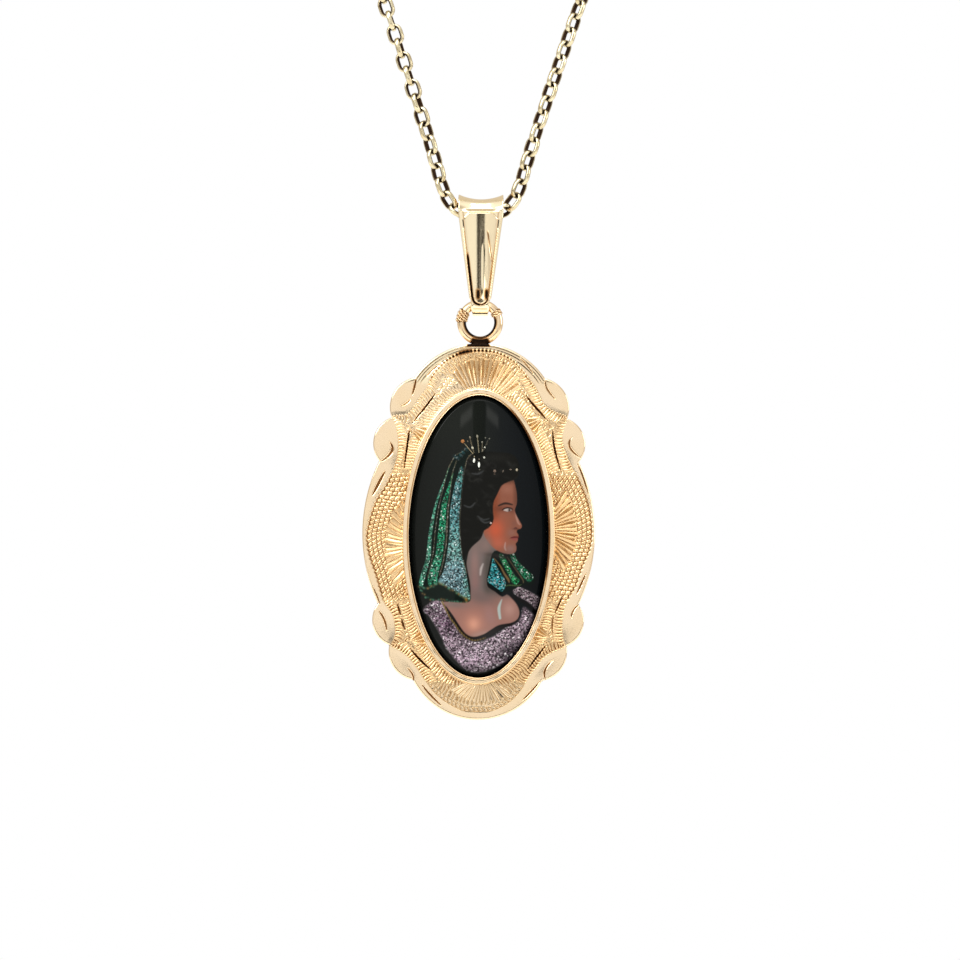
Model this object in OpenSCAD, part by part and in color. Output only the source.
// Enamel pendant on a fine cable chain, in millimetres.
// X runs to the right, Z up, and the pendant faces -Y.
// The origin is the place at the nape where the chain sits on the wearer.

/* [Frame] */
// Radius of the arc along each side
side_r = 13.2; // [12.8:0.1:13.6]
// Half of the frame's width at its widest
half_w = 9.3; // [9.1:0.05:9.5]
// Radius of the arc over the top
top_r = 6.3; // [6.1:0.1:6.5]
// Height of the top edge over the frame's middle
top_h = 15.05; // [14.9:0.05:15.2]
// Radius of the arc round the bottom
bottom_r = 5.8; // [5.6:0.1:6]
// Depth of the bottom edge under the frame's middle
bottom_h = 15.05; // [14.9:0.05:15.2]
// Thickness of the gold plate
plate_t = 1.3; // [1.1:0.1:1.6]

/* [Bezel and enamel] */
// Outer width of the bezel
bezel_w = 12.2; // [12:0.1:12.4]
// Outer height of the bezel
bezel_h = 23.6; // [23.2:0.1:24]
// Height of the bezel's middle over the frame's middle
bezel_z = -0.4; // [-0.6:0.1:-0.2]
// Width of the bezel's gold rim
bezel_wall = 0.55; // [0.45:0.05:0.65]
// Height of the bezel over the plate
bezel_rise = 0.6; // [0.4:0.1:0.8]
// Gold left behind the enamel
floor_t = 0.45; // [0.35:0.05:0.6]
// Gap between the enamel and the bezel
enamel_gap = 0.05; // [0.03:0.01:0.1]
// Height of the enamel's crown over the bezel
dome_rise = 0.7; // [0.5:0.1:0.9]

/* [Ring] */
// Radius of the hanging ring at the middle of its wire
ring_r = 1.48; // [1.4:0.02:1.56]
// Thickness of the ring's wire
ring_wire = 0.71; // [0.65:0.02:0.77]
// Thickness of the granulated sleeves on the ring's shoulders
sleeve_d = 0.86; // [0.8:0.02:0.9]
// Height of the neck over the frame's top edge
neck_h = 0.55; // [0.5:0.05:0.6]
// Depth of the neck, front to back
neck_depth = 0.7; // [0.6:0.05:0.8]

/* [Bail] */
// Width of the bail at its top fold
bail_w = 3.6; // [3.4:0.1:3.8]
// Width of the bail's panel at its foot
bail_foot_w = 1.74; // [1.6:0.02:1.8]
// Width of the tab below the panel
tab_w = 1.38; // [1.3:0.02:1.4]
// Height of the chain in the bail over the ring's top wire
bail_reach = 7.15; // [7:0.05:7.4]
// Thickness of the folded strip
strip_t = 0.32; // [0.28:0.02:0.36]
// Inner radius of the top fold at its middle
fold_r = 0.9; // [0.85:0.05:1]
// Growth of the top fold's radius from its middle to its edges
fold_flare = 0.4; // [0.35:0.05:0.45]
// Inner radius of the fold under the ring's wire
foot_r = 0.64; // [0.62:0.01:0.68]

/* [Chain] */
// Thickness of the chain
chain_d = 1.2; // [1.1:0.05:1.2]
// Outer diameter of the spring ring clasp
clasp_d = 5.9; // [5.7:0.1:6.1]
// Thickness of the clasp's tube
clasp_tube = 1.1; // [1:0.05:1.15]
// Outer diameter of the end ring
end_ring_d = 3.6; // [3.5:0.05:3.7]
// Thickness of the end ring's wire
end_ring_wire = 0.6; // [0.5:0.05:0.6]

/* [Hidden] */
GOLD = [0.89, 0.72, 0.5];
DARK_GOLD = [0.55, 0.45, 0.3];
ENAMEL = [0.05, 0.07, 0.06];
FINE = 64;
OVAL_SIDES = 96;
BARREL_FINE = 360;

// Scroll lobes on the right half, from the top down; each is mirrored to the left
LOBE_X = 0;
LOBE_Z = 1;
LOBE_R = 2;
LOBES = [
    [4.74, 9.9, 2.43],
    [6.28, 7.0, 2.2],
    [6.3, -7.1, 2.16],
    [4.8, -9.6, 2.33]
];

// Places along Y, front to back; the ring's plane is at zero
plate_front = -0.5;
plate_back = plate_front + plate_t;
bezel_front = plate_front - bezel_rise;
pocket_floor = plate_back - floor_t;

// Heights over the frame's middle
ring_z = top_h + ring_r + 0.2;
hinge_z = ring_z + ring_r;
bail_axis_z = hinge_z + bail_reach;

// The chain's route, half of it, from the nape to the lowest point in the bail
ROUTE = [
    [0, 0, 0],
    [12, -1, 0],
    [24, -4, -1],
    [35, -11, -3],
    [45, -22, -6],
    [51, -35, -11],
    [53, -48, -17],
    [51, -61, -26],
    [46.5, -71, -37],
    [40, -79, -53],
    [32, -86, -75],
    [22.5, -94, -103],
    [12.3, -101, -133],
    [3.6, -104.9, -159],
    [3, -105, -161],
    [2.5, -105, -162],
    [1.75, -105, -162.7],
    [0.9, -105, -162.95],
    [0, -105, -163]
];
LOWEST = ROUTE[len(ROUTE) - 1];
RING_STEP = 9;

// The clasp and the end ring meet at the nape
clasp_r = (clasp_d - clasp_tube) / 2;
end_ring_r = (end_ring_d - end_ring_wire) / 2;
clasp_x = -0.5 - clasp_r;
eye_r = 0.75;
eye_wire = 0.5;
eye_x = clasp_x - clasp_r - clasp_tube / 2 - eye_r;
link_gap = 0.1;
right_end_x = end_ring_r + end_ring_wire / 2 + link_gap;
left_end_x = eye_x - eye_r - eye_wire / 2 - link_gap;

// An oval outline about the bezel's middle
module oval(width, height) {
    translate([0, bezel_z])
        polygon([for (i = [0 : OVAL_SIDES - 1])
            [width / 2 * cos(360 * i / OVAL_SIDES), height / 2 * sin(360 * i / OVAL_SIDES)]]);
}

// A flat outline in X and Z, thickened from one Y to another
module slab(front, back) {
    translate([0, back, 0])
        rotate([90, 0, 0])
            linear_extrude(back - front)
                children();
}

// A ring about the Y axis, with its angles counted from +X towards +Z
module wire_ring(radius, wire, from = 0, sweep = 360) {
    rotate([90, 0, 0])
        rotate([0, 0, from])
            rotate_extrude(angle = sweep, $fn = FINE)
                translate([radius, 0])
                    circle(d = wire, $fn = FINE);
}

// The scroll-edged outline, made of whole circles
module scroll_outline() {
    intersection() {
        translate([half_w - side_r, -0.15])
            circle(r = side_r, $fn = FINE);
        translate([side_r - half_w, -0.15])
            circle(r = side_r, $fn = FINE);
    }
    translate([0, top_h - top_r])
        circle(r = top_r, $fn = FINE);
    translate([0, bottom_r - bottom_h])
        circle(r = bottom_r, $fn = FINE);
    for (lobe = LOBES, side = [-1, 1])
        translate([side * lobe[LOBE_X], lobe[LOBE_Z]])
            circle(r = lobe[LOBE_R], $fn = FINE);
}

// The waisted post between the frame's top edge and the ring
module neck() {
    waist = 0.55;
    foot = 1;
    sink = 0.35;
    slab(-neck_depth / 2, neck_depth / 2)
        difference() {
            translate([-foot, top_h - sink])
                square([2 * foot, sink + neck_h]);
            for (side = [-1, 1])
                translate([side * (foot + 0.05), top_h + neck_h / 2])
                    circle(r = foot - waist, $fn = FINE);
        }
}

module ring_on_frame() {
    sleeve_start = 46;
    sleeve_left = 46;
    sleeve_right = 22;
    translate([0, 0, ring_z]) {
        wire_ring(ring_r, ring_wire);
        wire_ring(ring_r, sleeve_d, 90 + sleeve_start, sleeve_left);
        wire_ring(ring_r, sleeve_d, 90 - sleeve_start - sleeve_right, sleeve_right);
    }
    neck();
}

// Pendant pieces have the frame's middle as their own origin
module frame_solid() {
    difference() {
        union() {
            slab(plate_front, plate_back)
                scroll_outline();
            slab(bezel_front, plate_back)
                oval(bezel_w, bezel_h);
            ring_on_frame();
        }
        slab(bezel_front - 1, pocket_floor)
            oval(bezel_w - 2 * bezel_wall, bezel_h - 2 * bezel_wall);
    }
}

// The enamel's crown is part of a barrel, curved along and across
module enamel_solid() {
    width = bezel_w - 2 * bezel_wall - 2 * enamel_gap;
    height = bezel_h - 2 * bezel_wall - 2 * enamel_gap;
    crown = bezel_front - dome_rise;
    across_r = 12;
    along_r = 60;
    intersection() {
        slab(crown - 1, pocket_floor)
            oval(width, height);
        translate([0, crown + across_r, bezel_z])
            rotate_extrude($fn = BARREL_FINE)
                intersection() {
                    translate([across_r - along_r, 0])
                        circle(r = along_r, $fn = BARREL_FINE);
                    translate([0, -height])
                        square([across_r + 1, 2 * height]);
                }
    }
}

// Region between the fold's axis and a bow that rises to both mouths
module under_bow(height, half) {
    reach = bail_w / 2;
    bow_r = (reach * reach + fold_flare * fold_flare) / (2 * fold_flare);
    difference() {
        translate([-half, 0])
            square([2 * half, height + fold_flare]);
        translate([0, height + bow_r])
            circle(r = bow_r, $fn = FINE);
    }
}

// Turns a section about the X axis; the angle starts at the bottom and runs by way of the back
module about_x(from, sweep) {
    rotate([0, 90, 0])
        rotate([0, 0, from])
            rotate_extrude(angle = sweep, $fn = FINE)
                rotate([0, 0, -90])
                    children();
}

// Front outline of the bail below its fold: a tapered panel over a narrower tab
module leg_outline(top, foot) {
    panel_foot = hinge_z + 0.4;
    polygon([
        [-bail_w / 2, top],
        [-bail_foot_w / 2, panel_foot],
        [-tab_w / 2, panel_foot],
        [-tab_w / 2, foot],
        [tab_w / 2, foot],
        [tab_w / 2, panel_foot],
        [bail_foot_w / 2, panel_foot],
        [bail_w / 2, top]
    ]);
}

// One leg of the bail: side is -1 at the front and 1 at the back
module leg(side, thick_top) {
    top = bail_axis_z + 0.15;
    outer_top = fold_r + fold_flare + strip_t;
    intersection() {
        slab(-3, 3)
            leg_outline(top, hinge_z);
        translate([-bail_w, 0, 0])
            rotate([90, 0, 90])
                linear_extrude(2 * bail_w)
                    polygon([
                        [side * outer_top, top],
                        [side * (outer_top - thick_top), top],
                        [side * foot_r, hinge_z],
                        [side * (foot_r + strip_t), hinge_z]
                    ]);
    }
}

// The puffed middle of the front panel, part of a cylinder that leans with the leg
module puff() {
    inset = 0.35;
    puff_r = 2;
    rise = 0.2;
    lean = atan2(fold_r + fold_flare - foot_r, bail_reach);
    half_top = bail_w / 2 - inset - 0.1;
    half_foot = bail_foot_w / 2 - inset + 0.05;
    foot = hinge_z + 0.9;
    intersection() {
        slab(-3, 0) {
            polygon([
                [-half_top, bail_axis_z - inset],
                [-half_foot, foot],
                [half_foot, foot],
                [half_top, bail_axis_z - inset]
            ]);
            translate([0, foot])
                circle(r = half_foot, $fn = FINE);
        }
        translate([0, puff_r - foot_r - strip_t - rise, hinge_z])
            rotate([lean, 0, 0])
                cylinder(h = bail_reach + 1, r = puff_r, $fn = FINE);
    }
}

module bail_solid() {
    foot_w = 1.2;
    difference() {
        union() {
            translate([0, 0, bail_axis_z])
                about_x(90, 180)
                    under_bow(fold_r + strip_t, bail_w / 2);
            leg(-1, 0.55);
            leg(1, 0.55);
            puff();
            translate([0, 0, hinge_z])
                about_x(-90, 180)
                    translate([-foot_w / 2, foot_r])
                        square([foot_w, strip_t]);
        }
        translate([0, 0, bail_axis_z])
            about_x(0, 360)
                under_bow(fold_r, bail_w / 2 + 1);
        slot_between_legs();
    }
}

// What the front and back legs leave free below the fold
module slot_between_legs() {
    inner_top = fold_r + fold_flare - 0.2;
    translate([-bail_w, 0, 0])
        rotate([90, 0, 90])
            linear_extrude(2 * bail_w)
                polygon([
                    [-inner_top, bail_axis_z],
                    [-foot_r, hinge_z],
                    [foot_r, hinge_z],
                    [inner_top, bail_axis_z]
                ]);
}

// Direction of the route at one of its points, weighted by the lengths on both sides
function heading(points, i) =
    i == 0 ? (points[1] - points[0]) / norm(points[1] - points[0]) :
    i == len(points) - 1 ? (points[i] - points[i - 1]) / norm(points[i] - points[i - 1]) :
    let(before = norm(points[i] - points[i - 1]), after = norm(points[i + 1] - points[i]))
    ((points[i + 1] - points[i]) / after * before + (points[i] - points[i - 1]) / before * after)
        / (before + after);

// A point on the smooth curve through the route, a share t past point i
function along(points, i, t) =
    let(span = norm(points[i + 1] - points[i]))
    (2 * pow(t, 3) - 3 * t * t + 1) * points[i]
        + (pow(t, 3) - 2 * t * t + t) * span * heading(points, i)
        + (3 * t * t - 2 * pow(t, 3)) * points[i + 1]
        + (pow(t, 3) - t * t) * span * heading(points, i + 1);

// Centres of the tube's rings: long stretches of the route take several
function centres(points) = [
    for (i = [0 : len(points) - 2])
        let(steps = ceil(norm(points[i + 1] - points[i]) / RING_STEP))
        for (k = [0 : steps - 1]) along(points, i, k / steps),
    points[len(points) - 1]
];

// A tube of eight sides swept along the route
module tube(points, diameter) {
    sides = 8;
    rings = centres(points);
    last = len(rings) - 1;
    reference = [0, -0.5, 0.87];
    vertices = [
        for (i = [0 : last])
            let(
                tangent = heading(rings, i),
                across = cross(tangent, reference) / norm(cross(tangent, reference)),
                upward = cross(across, tangent) / norm(tangent)
            )
            for (k = [0 : sides - 1])
                rings[i] + diameter / 2 * (cos(360 * k / sides) * across + sin(360 * k / sides) * upward)
    ];
    walls = [
        for (i = [0 : last - 1], k = [0 : sides - 1])
            let(
                a = i * sides + k,
                b = i * sides + (k + 1) % sides,
                c = (i + 1) * sides + (k + 1) % sides,
                d = (i + 1) * sides + k
            )
            each [[a, b, c], [a, c, d]]
    ];
    start_cap = [for (k = [0 : sides - 1]) sides - 1 - k];
    end_cap = [for (k = [0 : sides - 1]) last * sides + k];
    polyhedron(vertices, concat(walls, [start_cap, end_cap]));
}

// The whole loop: from the end ring round the right side to the bail and back on the left
function mirrored(point) = [-point[0], point[1], point[2]];
function loop_route() = concat(
    [[right_end_x, 0, 0]],
    [for (i = [1 : len(ROUTE) - 1]) ROUTE[i]],
    [for (i = [len(ROUTE) - 2 : -1 : 1]) mirrored(ROUTE[i])],
    [[left_end_x, 0, 0]]
);

// Moves a pendant piece from the frame's middle to its place on the chain
module hung() {
    translate([0, LOWEST[1], LOWEST[2] - bail_axis_z])
        children();
}

module frame() {
    color(GOLD)
        hung()
            frame_solid();
}

module enamel() {
    color(ENAMEL)
        hung()
            enamel_solid();
}

module bail() {
    color(GOLD)
        hung()
            bail_solid();
}

module chain() {
    color(DARK_GOLD)
        tube(loop_route(), chain_d);
}

// A spring ring with its eye and thumb knob, shut
module clasp() {
    knob_angle = 50;
    color(DARK_GOLD) {
        translate([clasp_x, 0, 0]) {
            wire_ring(clasp_r, clasp_tube);
            rotate([0, -knob_angle, 0])
                translate([clasp_r, 0, 0])
                    rotate([0, 90, 0])
                        cylinder(h = 1.1, d = 0.7, $fn = FINE);
        }
        translate([eye_x, 0, 0])
            wire_ring(eye_r, eye_wire);
    }
}

module end_ring() {
    color(DARK_GOLD)
        rotate_extrude($fn = FINE)
            translate([end_ring_r, 0])
                circle(d = end_ring_wire, $fn = FINE);
}

frame();
enamel();
bail();
chain();
clasp();
end_ring();
